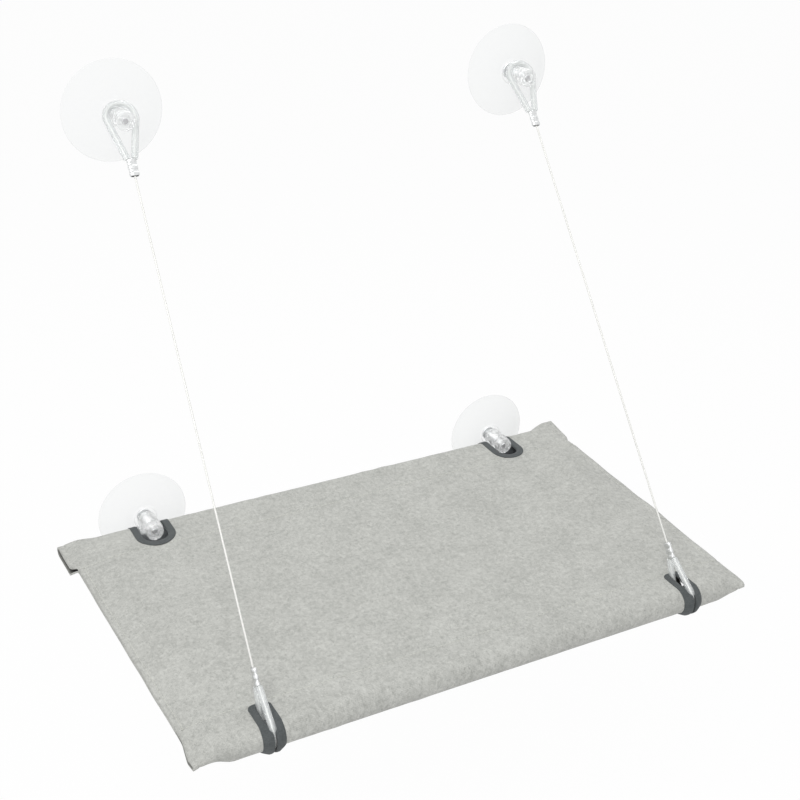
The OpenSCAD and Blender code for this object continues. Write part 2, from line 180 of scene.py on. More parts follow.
coated_wire = finish_of("coated wire", (0.78, 0.78, 0.76), 0.35, 0.1, Coat_Weight=0.4)
grain(coated_wire, 900, ((0.7, 0.7, 0.67), (0.84, 0.84, 0.81)), 0.1)
wires, wire_lines, wire_frames = {}, {}, {}
for side, sign in SIDES.items():
    run = spool_place[side] - rail_place[side]
    lean, splay = math.atan2(run.y, run.z), math.asin(abs(run.x) / run.length)
    turned = Matrix.Rotation(-lean, 3, "X") @ Matrix.Rotation(-sign * splay, 3, "Y")
    to_end = turned @ Vector((0, 0, loop_end))
    start, stop = rail_place[side] + to_end, spool_place[side] - to_end
    line = [stop + (start - stop) * i / wire_steps for i in range(wire_steps + 1)]
    wire = skin(f"suspension_wire_{side}", rings_along(line, rope_r, 18), sharp=70)
    wire.data.materials.append(coated_wire)
    wires[side], wire_lines[side], wire_frames[side] = wire, line, turned
    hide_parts(f"wire_{side}")
    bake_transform(wire)

# Clear milky sleeves, 6 mm soft tube cut square, each threaded with the wire's own loop. The
# upper ones hang on the spools and the lower ones go round the front rail.
sleeve_r, sleeve_bore_r, sleeve_reach, strand_x = 0.003, 0.0017, 0.036, 0.0031
loop_r = {"upper": 0.012177, "lower": 0.0132}
body_at = {"upper": "window_side", "lower": "seat"}
pressed_from_r, pressed_share, pressed_turn, pressed_fade = 0.0102, 0.5, (36, 246), (34, 36)


def loop_line(radius):
    """A loop from one strand's end to the other's, as places across it and away from its back."""
    end = np.array([strand_x, sleeve_reach])
    touch = math.atan2(end[1], end[0]) - math.acos(radius / np.linalg.norm(end))
    leave = radius * np.array([math.cos(touch), math.sin(touch)])
    bend = np.linspace(touch, -math.pi / 2, 34)
    half = [end + (leave - end) * (step / 12) for step in range(12)]
    half += [radius * np.array([math.cos(angle), math.sin(angle)]) for angle in bend]
    return half + [point * (-1, 1) for point in half[-2::-1]]


def on_loop(end, side, across, away, beside=0.0):
    """A place in the room, from one across a loop, away from its back and beside its plane."""
    if end == "upper":
        return spool_place[side] + wire_frames[side] @ Vector((-across, beside, -away))
    return rail_place[side] + wire_frames[side] @ Vector((-beside, across, away))


def pressed(point):
    """A lower loop's place where the wire's pull and the cover press its sleeve flat on the rail."""
    axis = rail_place["left"]
    y, z = point.y - axis.y, point.z - axis.z
    turn_down = math.degrees(math.atan2(-y, z)) % 360
    rise = min(1, max(0, (turn_down - pressed_turn[0]) / pressed_fade[0]))
    fall = min(1, max(0, (pressed_turn[1] - turn_down) / pressed_fade[1]))
    away = math.hypot(y, z)
    nearer = 1 - rise * fall * pressed_share * max(0, away - pressed_from_r) / away
    return Vector((point.x, axis.y + y * nearer, axis.z + z * nearer))


def calc(tree, operation, *values):
    """The result of one sum on sockets and plain numbers."""
    node = tree.nodes.new("ShaderNodeMath")
    node.operation = operation
    for socket, value in zip(node.inputs, values):
        if isinstance(value, bpy.types.NodeSocket):
            tree.links.new(value, socket)
        else:
            socket.default_value = value
    return node.outputs[0]


def see_through(material, tint, least, most, blend=0.35):
    """Lets light straight through where the surface faces the eye, and less towards its edges.

    It holds back only a little of a lamp's light, so that nothing behind it or in it is dark."""
    tree, lamp_passes = material.node_tree, 0.85
    add, link, shader = tree.nodes.new, tree.links.new, tree.nodes["Principled BSDF"]
    through, mix = add("ShaderNodeBsdfTransparent"), add("ShaderNodeMixShader")
    rim, body, rays = add("ShaderNodeLayerWeight"), add("ShaderNodeMapRange"), add("ShaderNodeLightPath")
    through.inputs["Color"].default_value = (*tint, 1)
    rim.inputs["Blend"].default_value = blend
    body.inputs["To Min"].default_value, body.inputs["To Max"].default_value = least, most
    link(rim.outputs["Facing"], body.inputs["Value"])
    lit = calc(tree, "MAXIMUM", rays.outputs["Is Shadow Ray"], rays.outputs["Is Diffuse Ray"])
    solid = body.outputs["Result"]
    less = calc(tree, "MULTIPLY", lit, -lamp_passes)
    link(calc(tree, "MULTIPLY_ADD", less, solid, solid), mix.inputs["Fac"])
    link(through.outputs[0], mix.inputs[1])
    link(shader.outputs[0], mix.inputs[2])
    link(mix.outputs[0], tree.nodes["Material Output"].inputs["Surface"])


milky = finish_of(
    "milky sleeve", (0.84, 0.86, 0.86), 0.24, Transmission_Weight=0.4, IOR=1.4, Coat_Weight=0.15)
grain(milky, 160, ((0.81, 0.83, 0.83), (0.87, 0.885, 0.885)), 0.05)
see_through(milky, (0.98, 0.985, 0.985), 0.5, 0.85)
for end, side in ((end, side) for end in loop_r for side in SIDES):
    line = [on_loop(end, side, across, away) for across, away in loop_line(loop_r[end])]
    tubes = [rings_along(line, r, 20) for r in (sleeve_r, sleeve_bore_r)]
    if end == "lower":
        tubes = [[[pressed(point) for point in ring] for ring in rings] for rings in tubes]
        line = [pressed(point) for point in line]
    sleeve = skin(f"{end}_loop_sleeve_{side}", tubes[0] + tubes[1][::-1], loop=True, sharp=50)
    sleeve.data.materials.append(milky)
    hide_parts(f"{end}_loop_{side}")
    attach(sleeve, body_at[end])
    loop_wire = skin(f"{end}_loop_wire_{side}", rings_along(line, rope_r, 14), sharp=70)
    loop_wire.data.materials.append(coated_wire)
    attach(loop_wire, body_at[end])

# Aluminium ferrules, oval tube squeezed flat in two places over the two strands of each loop.
# Their ends are rounded over. The end where the wire goes in is closed by a near-black face, painted shade
# for the opening.
ferrule_l, ferrule_w, ferrule_t = 0.015, 0.0084, 0.0046
crimps, crimp_half_l, crimp_w, crimp_t = (0.0046, 0.0104), 0.0015, 0.00025, 0.00075
end_round, end_closing = 0.0012, 0.22
ferrule_metal = finish_of("ferrule aluminium", (0.74, 0.75, 0.75), 0.3, 0.85)
grain(ferrule_metal, 700, ((0.62, 0.63, 0.63), (0.84, 0.85, 0.85)), 0.12)
# Near black: painted shade for the inside of a ferrule's mouth, not a colour of the metal.
painted_shade_mouth = finish_of("ferrule mouth painted shade", (0.03, 0.032, 0.034), 0.7)
grain(painted_shade_mouth, 900, ((0.02, 0.022, 0.024), (0.05, 0.052, 0.055)), 0.1)


def ferrule_ring(end, side, gone):
    """One oval ring of a ferrule, at a distance from its first end."""
    from_end = min(gone, ferrule_l - gone)
    closing = 1 - end_closing * max(0, 1 - from_end / end_round) ** 2
    squeeze = sum(math.exp(-(((gone - crimp) / crimp_half_l) ** 4)) for crimp in crimps)
    half_w = (ferrule_w / 2) * closing - crimp_w * squeeze
    half_t = (ferrule_t / 2) * closing - crimp_t * squeeze
    ring = []
    for angle in np.linspace(0, 2 * math.pi, 29)[:-1]:
        c, s = math.cos(angle), math.sin(angle)
        x, y = half_w * math.copysign(abs(c) ** 0.75, c), half_t * math.copysign(abs(s) ** 0.9, s)
        across, away = (-x, loop_end - gone) if end == "upper" else (x, gone + sleeve_reach)
        ring.append(on_loop(end, side, across, away, y))
    return ring


for end, side in ((end, side) for end in loop_r for side in SIDES):
    rings = [ferrule_ring(end, side, gone) for gone in np.linspace(0, ferrule_l, 61)]
    ferrule = skin(f"{end}_crimped_ferrule_{side}", rings, sharp=50)
    ferrule.data.materials.append(ferrule_metal)
    ferrule.data.materials.append(painted_shade_mouth)
    # The wire's end face takes the near-black material, painted shade standing in for the open mouth.
    wire_end_face = -2 if end == "upper" else -1
    ferrule.data.polygons[wire_end_face].material_index = 1
    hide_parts(f"{end}_ferrule_{side}")
    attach(ferrule, body_at[end])

# Suction cups, 87 mm soft clear vinyl moulded in one piece with a thick boss. Each is pressed
# on the pane by its sealing ring, with a shallow hollow behind it that holds the stud's head.
CORNERS = {
    f"{end}_{side}": Vector((sign * cup_x, 0, height))
    for end, height in (("upper", cup_span_z), ("lower", 0.0)) for side, sign in SIDES.items()
}
cup_r, lip_t, bell_h, bell_curve = 0.0435, 0.0014, 0.008, 1.7
boss_r, boss_h, boss_round, boss_foot = 0.011, 0.013, 0.003, 0.0012
hollow_h, seal_w, head_r, head_t, stud_bore_r = 0.0032, 0.0035, 0.00705, 0.0024, 0.00255


def lathe(name, profile, place, steps=96, shaped=None, sharp=50):
    """Turns a profile of radius and distance from the glass round a stud's axis."""
    rings = []
    for r, h in profile:
        ring = []
        for angle in np.linspace(0, 2 * math.pi, steps + 1)[:-1]:
            at = shaped(r, h, angle) if shaped else r
            ring.append(place + Vector((at * math.cos(angle), -h, at * math.sin(angle))))
        rings.append(ring)
    return skin(name, rings, loop=True, sharp=sharp)


def cup_profile():
    """A cup's outline, from the top of its boss out to the rim and back up inside the hollow."""
    boss_edge, edge_h = boss_r - boss_round, boss_h - boss_round
    profile = [
        (boss_edge + boss_round * math.cos(angle), edge_h + boss_round * math.sin(angle))
        for angle in np.linspace(math.pi / 2, 0, 9)
    ]
    profile += [(boss_r, bell_h + 0.0016), (boss_r + 0.0004, bell_h + 0.0005)]
    for share in np.linspace(0, 1, 26):
        h = lip_t + (bell_h - lip_t) * (1 - share ** bell_curve)
        profile.append((boss_r + boss_foot + (cup_r - 0.0005 - boss_foot - boss_r) * share, h))
    profile += [(cup_r - 0.0001, lip_t - 0.0004), (cup_r, lip_t / 2)]
    profile += [(cup_r - 0.0002, 0.0001), (cup_r - 0.0008, 0), (cup_r - seal_w, 0)]
    for share in np.linspace(0.97, 0, 22):
        h = hollow_h * (1 - share ** bell_curve)
        profile.append((head_r + (cup_r - seal_w - head_r) * share, h))
    head_end = hollow_h + head_t
    return profile + [(head_r, head_end), (stud_bore_r, head_end), (stud_bore_r, boss_h)]


clear_vinyl = finish_of("clear vinyl", (0.84, 0.85, 0.85), 0.16, Specular_IOR_Level=0.6)
grain(clear_vinyl, 60, None, 0.12, 2.0, distance=0.0015)
see_through(clear_vinyl, (0.985, 0.988, 0.988), 0.035, 0.6)
for corner, place in CORNERS.items():
    cup = lathe(f"suction_cup_{corner}", cup_profile(), place)
    cup.data.materials.append(clear_vinyl)
    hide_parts(f"cup_{corner}")
    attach(cup, "window_side")

# Threaded studs, M5 zinc plated steel with a flat head moulded into the cup. The thread shows
# through the clear plastic round it and in the knob's recess. Their tips are a darker grey than
# the plating, partly bare cut steel and partly painted shade for the dark spot in the recess.
thread_pitch, thread_depth, shank_r, stud_end = 0.0008, 0.0003, 0.0025, 0.03726
head_edge_r, head_top = head_r - 0.00015, hollow_h + head_t - 0.00005
zinc = finish_of("zinc plate", (0.86, 0.87, 0.88), 0.34, 0.6)
grain(zinc, 500, ((0.8, 0.81, 0.82), (0.92, 0.925, 0.93)), 0.08)
# Darker than the zinc: bare cut steel, and painted shade for the dark spot deep in the knob's recess.
cut_steel_and_shade = finish_of("cut steel end and shade", (0.56, 0.56, 0.57), 0.45, 0.7)
grain(cut_steel_and_shade, 1800, ((0.46, 0.46, 0.47), (0.64, 0.64, 0.65)), 0.1)


def thread_r(r, h, angle):
    """A helical V thread over the shank, which fades out at the head and at the tip."""
    if r < shank_r * 0.99 or h < boss_h:
        return r
    phase = (h / thread_pitch - angle / (2 * math.pi)) % 1.0
    fade = min(1, (h - boss_h) / 0.001, (stud_end - h) / 0.0004 + 0.3)
    return r - thread_depth * fade * abs(2 * phase - 1)


stud_profile = [
    (0.0002, hollow_h), (head_r - 0.0006, hollow_h), (head_edge_r, hollow_h + 0.0004),
    (head_edge_r, hollow_h + head_t - 0.0003), (head_r - 0.0004, head_top), (shank_r, head_top),
]
stud_profile += [(shank_r, h) for h in np.arange(boss_h, stud_end - 0.0004, thread_pitch / 5)]
stud_profile += [(shank_r * 0.98, stud_end - 0.0003), (shank_r * 0.86, stud_end), (0.0002, stud_end)]
for corner, place in CORNERS.items():
    stud = lathe(f"threaded_stud_{corner}", stud_profile, place, 30, thread_r, sharp=40)
    stud.data.materials.append(zinc)
    stud.data.materials.append(cut_steel_and_shade)
    # Faces at the tip get the darker grey, which is partly painted shade.
    for face in stud.data.polygons:
        nearest = min(-stud.data.vertices[vertex].co.y for vertex in face.vertices)
        face.material_index = int(nearest > stud_end - 0.0004)
    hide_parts(f"stud_{corner}")
    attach(stud, "window_side")

# Knobs, hard clear plastic thumb nuts with shallow finger flutes and a six-sided recess in
# their outer end. Each turns on its stud and holds down what is threaded on it.
knob_r, knob_start, knob_l, recess_depth = 0.0085, 0.03126, 0.008, 0.003
flutes, flute_depth, flutes_from_r = 10, 0.00045, 0.0074
knob_face = knob_start + knob_l
recess_floor = knob_face - recess_depth
clear_plastic = finish_of(
    "clear hard plastic", (0.975, 0.98, 0.98), 0.04, Transmission_Weight=0.72, IOR=1.45, Coat_Weight=1.0)
grain(clear_plastic, 90, None, 0.06, 2.0)
see_through(clear_plastic, (0.99, 0.992, 0.992), 0.6, 0.95, 0.45)


def knob_outline(r, h, angle):
    """Flutes in the rim, and flats in the recess."""
    if r > flutes_from_r:
        share = min(1, (r - flutes_from_r) / 0.0006)
        return r - flute_depth * max(0, math.cos(flutes * angle)) ** 2 * share
    if 0.0045 < r < 0.0057 and h > recess_floor - 0.0005:
        flat = 0.88 / math.cos((angle % (math.pi / 3)) - math.pi / 6)
        return r * flat * (0.985 if r > 0.0052 else 1)
    return r


knob_profile = [
    (stud_bore_r + 0.00001, knob_start), (0.0070, knob_start), (0.0080, knob_start + 0.0002),
    (knob_r - 0.0001, knob_start + 0.0008), (knob_r, knob_start + 0.0014),
]
knob_profile += [(knob_r, h) for h in np.linspace(knob_start + 0.0022, knob_face - 0.0022, 5)]
knob_profile += [
    (knob_r - 0.0001, knob_face - 0.0012), (0.0081, knob_face - 0.0004), (0.0073, knob_face),
    (0.0062, knob_face - 0.00005), (0.0056, knob_face - 0.0004), (0.0053, knob_face - 0.0009),
    (0.0052, recess_floor + 0.0003), (0.0048, recess_floor), (stud_bore_r + 0.00001, recess_floor),
]
for corner, place in CORNERS.items():
    knob = lathe(f"thumb_knob_{corner}", knob_profile, place, 120, knob_outline, sharp=40)
    knob.data.materials.append(clear_plastic)
    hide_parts(f"knob_{corner}")
    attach(knob, f"knob_{corner}")

# Rail clips and loop spools, moulded in the same clear plastic as the knobs. A clip's hook
# holds the rear rail under its barrel, and a spool keeps a wire's loop off the thread.
under_knobs = ("rail_clip", "loop_spool")


def refinish(node, material):
    """Gives a CAD part its real finish."""
    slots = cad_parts[node].data.materials
    slots.clear()
    slots.append(material)


for side in SIDES:
    for part in under_knobs:
        refinish(f"{part}_{side}", clear_plastic)

# The frame, two rails and two side bars of 20 mm steel tube in a fine charcoal powder coat,
# joined by moulded elbows that plug into their ends.
powder = finish_of("charcoal powder coat", (0.085, 0.092, 0.096), 0.48, Coat_Weight=0.1)
grain(powder, 1400, ((0.07, 0.077, 0.081), (0.105, 0.112, 0.116)), 0.25, distance=0.0003)
moulded = finish_of("charcoal moulded plastic", (0.05, 0.054, 0.058), 0.55)
grain(moulded, 420, ((0.042, 0.046, 0.05), (0.062, 0.066, 0.07)), 0.18, distance=0.0003)
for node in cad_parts:
    if node.startswith("elbow_"):
        refinish(node, moulded)
    elif node.endswith("_rail") or node.startswith("side_bar"):
        refinish(node, powder)

# The cover, one piece of heathered canvas cut 549 x 466 mm. It is wrapped round both rails,
# turned under and sewn to itself in two seams, and its empty ends lie flat and droop.
cloth_t, wrap_r, bar_slot = 0.0017, 0.01115, (0.213, 0.2417)
rear_stitch, front_stitch, seam_inset, hem_stitch_inset = 0.037, 0.027, 0.0025, 0.0052
seam_dip, hem_dip, dip_reach = 0.0006, 0.0005, 0.0011
flat_from_x, flat_over, droop_from_x, droop_over = 0.2325, 0.034, 0.231, 0.040
sag_depth, sag_to_x, sag_over, sag_from_rail = 0.0028, 0.222, 0.12, 0.06
free_to_x, beyond_from_x, ripple_ease = 0.225, 0.243, 0.02
pocket_points, panel_points = 120, 60
rear_cut_r, rear_cut_depth = {-1: 0.0125, 1: 0.0106}, {-1: 0.0288, 1: 0.0325}
slot_r, slot_narrow_r, slot_depth, slot_lift = 0.0037, 0.0014, 0.0207, 0.0031


def round_loop(stitch):
    """Canvas from its seam down to the rail and round its far side up to the crown.

    Its places are inwards from the rail's axis, and up."""
    end = np.array([stitch, wrap_r - cloth_t])
    touch = math.atan2(end[1], end[0]) - math.acos(wrap_r / np.linalg.norm(end))
    foot = wrap_r * np.array([math.cos(touch), math.sin(touch)])
    flap = [end + (foot - end) * share for share in np.linspace(0, 1, 40)[:-1]]
    bend = np.linspace(touch, -1.5 * math.pi, 80)
    return np.array(flap + [wrap_r * np.array([math.cos(angle), math.sin(angle)]) for angle in bend])


def flat_loop(stitch, fold, gap):
    """The same canvas where no tube is in it: two layers with a fold at their far edge."""
    top, r = wrap_r, gap / 2
    line = [(stitch, top - cloth_t), (stitch - 0.006, top - cloth_t - gap * 0.15)]
    line += [(stitch - 0.014, top - gap), (-fold, top - gap)]
    for angle in np.linspace(0.2, math.pi - 0.2, 10):
        line.append((-fold - r * math.sin(angle), top - r - r * math.cos(angle)))
    return np.array(line + [(-fold, top), (0, top)])


def evenly(line, count):
    """A line of points again, at equal distances, and its length."""
    gone = np.concatenate([[0], np.cumsum(np.linalg.norm(np.diff(line, axis=0), axis=1))])
    at = np.linspace(0, gone[-1], count)
    return np.stack([np.interp(at, gone, line[:, k]) for k in (0, 1)], 1), gone[-1]


rear_round, rear_length = evenly(round_loop(rear_stitch), pocket_points)
front_round, front_length = evenly(round_loop(front_stitch), pocket_points)
panel_length = rear_y - front_y
panel_end = rear_length + panel_length
cover_length = panel_end + front_length
rear_seam, front_seam = rear_length + rear_stitch - seam_inset, panel_end - front_stitch + seam_inset
knots = np.concatenate([
    np.linspace(0, rear_length, pocket_points),
    rear_length + np.linspace(0, panel_length, panel_points)[1:],
    panel_end + np.linspace(0, front_length, pocket_points)[1:],
])


def section(rear, front):
    """Places of the cloth's middle along its length, as y and z, from the rear seam to the front one."""
    panel_y = np.linspace(rear_y, front_y, panel_points)[1:]
    panel = np.stack([panel_y, np.full(panel_points - 1, rail_z + wrap_r)], 1)
    rear = np.stack([rear_y - rear[:, 0], rail_z + rear[:, 1]], 1)
    front = np.stack([front_y + front[:, 0], rail_z + front[:, 1]], 1)[::-1][1:]
    return np.concatenate([rear, panel, front])


def empty_section(rear_fold, rear_gap, front_fold, front_gap):
    """The section at an end of the cover, beyond the frame, where both pockets are empty."""
    rear = evenly(flat_loop(rear_stitch, rear_fold, rear_gap), pocket_points)[0]
    front = evenly(flat_loop(front_stitch, front_fold, front_gap), pocket_points)[0]
    return section(rear, front)


held = section(rear_round, front_round)
empty = {
    -1: empty_section(rear_fold=0.012, rear_gap=0.0082, front_fold=0.0125, front_gap=0.0028),
    1: empty_section(rear_fold=0.0155, rear_gap=0.0045, front_fold=0.0135, front_gap=0.0034),
}
# Each row is a place along the seat, the cover's half width there, and how far its edge droops.
edges = {
    -1: np.array([
        (-0.345, 0.2695, 0.0085), (-0.335, 0.2705, 0.0080), (-0.318, 0.2684, 0.0060),
        (-0.223, 0.2705, 0.0050), (-0.120, 0.2725, 0.0050), (-0.053, 0.2735, 0.0055),
        (-0.048, 0.2790, 0.0058), (-0.005, 0.2795, 0.0060),
    ]),
    1: np.array([
        (-0.345, 0.2595, 0.0060), (-0.335, 0.2595, 0.0060), (-0.282, 0.2615, 0.0060),
        (-0.198, 0.2665, 0.0060), (-0.105, 0.2705, 0.0060), (-0.057, 0.2725, 0.0055),
        (-0.050, 0.2685, 0.0040), (-0.042, 0.2720, 0.0030), (-0.005, 0.2755, 0.0010),
    ]),
}


def waves(x, v, spread, seed):
    """Soft unevenness of stretched canvas, a sum of slow waves."""
    draw, full_turn, count = np.random.default_rng(seed), 6.283, 9
    total = np.zeros_like(x)
    for _ in range(count):
        way, phase = draw.uniform(0, math.pi), draw.uniform(0, full_turn)
        size = spread * draw.uniform(0.7, 1.9)
        total += np.sin((x * math.cos(way) + v * math.sin(way)) * full_turn / size + phase)
    return total / count ** 0.5


def smooth(share):
    """Goes from 0 to 1 with no corner at either end."""
    share = np.clip(share, 0, 1)
    return share * share * (3 - 2 * share)


def front_slot(v):
    """Half width of a front slot at a distance along the cover, and how far the loop lifts its edges."""
    left = cover_length - np.asarray(v, float)
    under = smooth((left - 0.029) / 0.008)
    narrow = smooth((front_length - left) / 0.0097) * under
    lift = slot_lift * smooth((front_length - 0.0055 - left) / 0.0065) * under
    return slot_r + (slot_narrow_r - slot_r) * narrow, lift


def cloth_middle(x, v):
    """Depth and height of the cloth's middle: held round the frame, flat and drooping beyond it."""
    y, z = (np.interp(v, knots, held[:, k]) for k in (0, 1))
    share = smooth((np.abs(x) - flat_from_x) / flat_over)
    beyond_bar = np.clip((np.abs(x) - droop_from_x) / droop_over, 0, 1.2) ** 1.5
    for sign in (-1, 1):
        end_y, end_z = (np.interp(v, knots, empty[sign][:, k]) for k in (0, 1))
        here = np.sign(x) == sign
        y = np.where(here, y + (end_y - y) * share, y)
        z = np.where(here, z + (end_z - z) * share, z)
        drop = np.interp(y, edges[sign][:, 0], edges[sign][:, 2])
        z = np.where(here, z - drop * beyond_bar, z)
    from_rear = np.clip((rear_y - 0.004 - y) / sag_from_rail, 0, 1)
    from_front = np.clip((y - front_y - 0.004) / sag_from_rail, 0, 1)
    on_panel = (v > rear_length) & (v < panel_end)
    sag = sag_depth * (from_rear * from_front) ** 0.8 * smooth((sag_to_x - np.abs(x)) / sag_over)
    return y, z - np.where(on_panel, sag, 0)


def on_cover(x, v, out=0.0):
    """Points of the cover for a place across it and a distance along it, out from its middle by so much."""
    x, v = np.broadcast_arrays(np.asarray(x, float), np.asarray(v, float))
    y, z = cloth_middle(x, v)
    next_y, next_z = cloth_middle(x, v + 0.0004)
    way = np.stack([next_y - y, next_z - z], -1)
    way /= np.maximum(np.linalg.norm(way, axis=-1, keepdims=True), 1e-9)
    normal = np.stack([np.zeros_like(x), way[..., 1], -way[..., 0]], -1)
    past_rear = np.clip((v - rear_length) / ripple_ease, 0, 1)
    before_front = np.clip((panel_end - v) / ripple_ease, 0, 1)
    free = np.clip((free_to_x - np.abs(x)) / ripple_ease, 0, 1) * past_rear * before_front
    beyond = np.clip((np.abs(x) - beyond_from_x) / ripple_ease, 0, 1)
    ripple = 0.00035 * waves(x, v, 0.05, 4) * (0.15 + 0.85 * free)
    ripple = ripple + 0.0005 * waves(x, v, 0.11, 9) * free + 0.0006 * waves(x, v, 0.035, 12) * beyond
    ripple = np.where(free + beyond > 0, ripple, 0.00012 * waves(x, v, 0.03, 5) ** 2)
    lift = front_slot(v)[1] * smooth((0.011 - np.abs(np.abs(x) - front_loop_x)) / 0.0075)
    return np.stack([x, y, z], -1) + normal * (ripple + lift + out)[..., None]


def canvas_dips(x, v, width):
    """How deep the canvas is pulled in beside its seams and hems."""
    dip = sum(seam_dip * np.exp(-(((v - seam) / dip_reach) ** 2)) for seam in (rear_seam, front_seam))
    return dip + hem_dip * np.exp(-(((width - np.abs(x) - hem_stitch_inset) / dip_reach) ** 2))


def half_width(sign, v):
    """From the middle to the cover's edge, at a distance along the cover."""
    y = np.interp(v, knots, empty[sign][:, 0])
    return np.interp(y, edges[sign][:, 0], edges[sign][:, 1])


def cut_gap(x, v):
    """Distance from the nearest cut-out's edge, less than zero inside it."""
    y = np.interp(v, knots, held[:, 0])
    rear_r, rear_depth = (np.where(x < 0, cut[-1], cut[1]) for cut in (rear_cut_r, rear_cut_depth))
    past_rear = np.maximum(rear_y - y - (rear_depth - rear_r), 0)
    past_front = np.maximum(y - front_y - (slot_depth - slot_r), 0)
    rear_gap = np.hypot(np.abs(x) - cup_x, past_rear) - rear_r
    front_gap = np.hypot(np.abs(x) - front_loop_x, past_front) - front_slot(v)[0]
    return np.where(v < cover_length / 2, rear_gap, front_gap)


plain_to_x, edge_reach = 0.179, 0.0303
edge_steps = np.array([0.08, 0.17, 0.27, 0.37, 0.47, 0.57, 0.67, 0.74, 0.79, 0.81, 0.83, 0.85, 0.88, 0.94, 1])
columns = np.concatenate([
    np.linspace(0, plain_to_x, 50),
    np.linspace(plain_to_x, front_loop_x, 17)[1:],
    np.linspace(front_loop_x, bar_slot[0], 8)[1:],
    np.linspace(*bar_slot, 10)[1:],
    bar_slot[1] + edge_reach * edge_steps,
])
columns = np.concatenate([-columns[:0:-1], columns])
seam_rows = [seam + d for seam in (rear_seam, front_seam) for d in (-0.0022, -0.0011, 0, 0.0011, 0.0022)]
rows = np.concatenate([
    np.linspace(0, rear_length, 44),
    rear_length + np.linspace(0, panel_length, 92)[1:-1],
    cover_length - np.linspace(front_length, 0, 40),
])
rows = [row for row in rows if min(abs(row - seam) for seam in seam_rows) > 0.0009]
rows = np.sort(np.array(rows + seam_rows))
grid_s, grid_v = np.meshgrid(columns, rows, indexing="ij")
sign_of = np.where(grid_s < 0, -1, 1)
grid_w = np.where(sign_of < 0, half_width(-1, grid_v), half_width(1, grid_v))
edge_share = (np.abs(grid_s) - bar_slot[1]) / (columns[-1] - bar_slot[1])
to_edge = sign_of * (bar_slot[1] + edge_share * (grid_w - bar_slot[1]))
grid_x = np.where(np.abs(grid_s) <= bar_slot[1], grid_s, to_edge)
points = on_cover(grid_x, grid_v, -canvas_dips(grid_x, grid_v, grid_w))
rear_flap_end, front_flap_end = rear_length * 0.5, cover_length - front_length * 0.42
cut_away = cut_gap(grid_x, grid_v) < 0.0002
number = np.arange(grid_x.size).reshape(grid_x.shape)
faces = []
for i in range(len(columns) - 1):
    for j in range(len(rows) - 1):
        middle_s, middle_v = (columns[i] + columns[i + 1]) / 2, (rows[j] + rows[j + 1]) / 2
        on_flap = middle_v < rear_flap_end or middle_v > front_flap_end
        round_bar = on_flap and bar_slot[0] < abs(middle_s) < bar_slot[1]
        if not round_bar and not cut_away[i:i + 2, j:j + 2].any():
            faces.append((number[i, j], number[i, j + 1], number[i + 1, j + 1], number[i + 1, j]))


def unroll(mesh, places):
    """Gives the corners of a mesh the places of their points on the flat cloth, for its weave."""
    threads = mesh.uv_layers.new(name="threads")
    for at, corner in enumerate(mesh.loops):
        threads.data[at].uv = places[corner.vertex_index]


mesh = bpy.data.meshes.new("canvas_cover")
mesh.from_pydata([tuple(point) for point in points.reshape(-1, 3)], [], faces)
unroll(mesh, np.stack([grid_x.ravel(), grid_v.ravel()], 1))
mesh.shade_smooth()
cover = bpy.data.objects.new("canvas_cover", mesh)
bpy.context.scene.collection.objects.link(cover)
form = bmesh.new()
form.from_mesh(mesh)
for vertex in [vertex for vertex in form.verts if not vertex.link_faces]:
    form.verts.remove(vertex)
form.to_mesh(mesh)
form.free()
thickness = cover.modifiers.new("canvas thickness", "SOLIDIFY")
thickness.thickness, thickness.offset, thickness.use_even_offset = cloth_t, 0.0, False


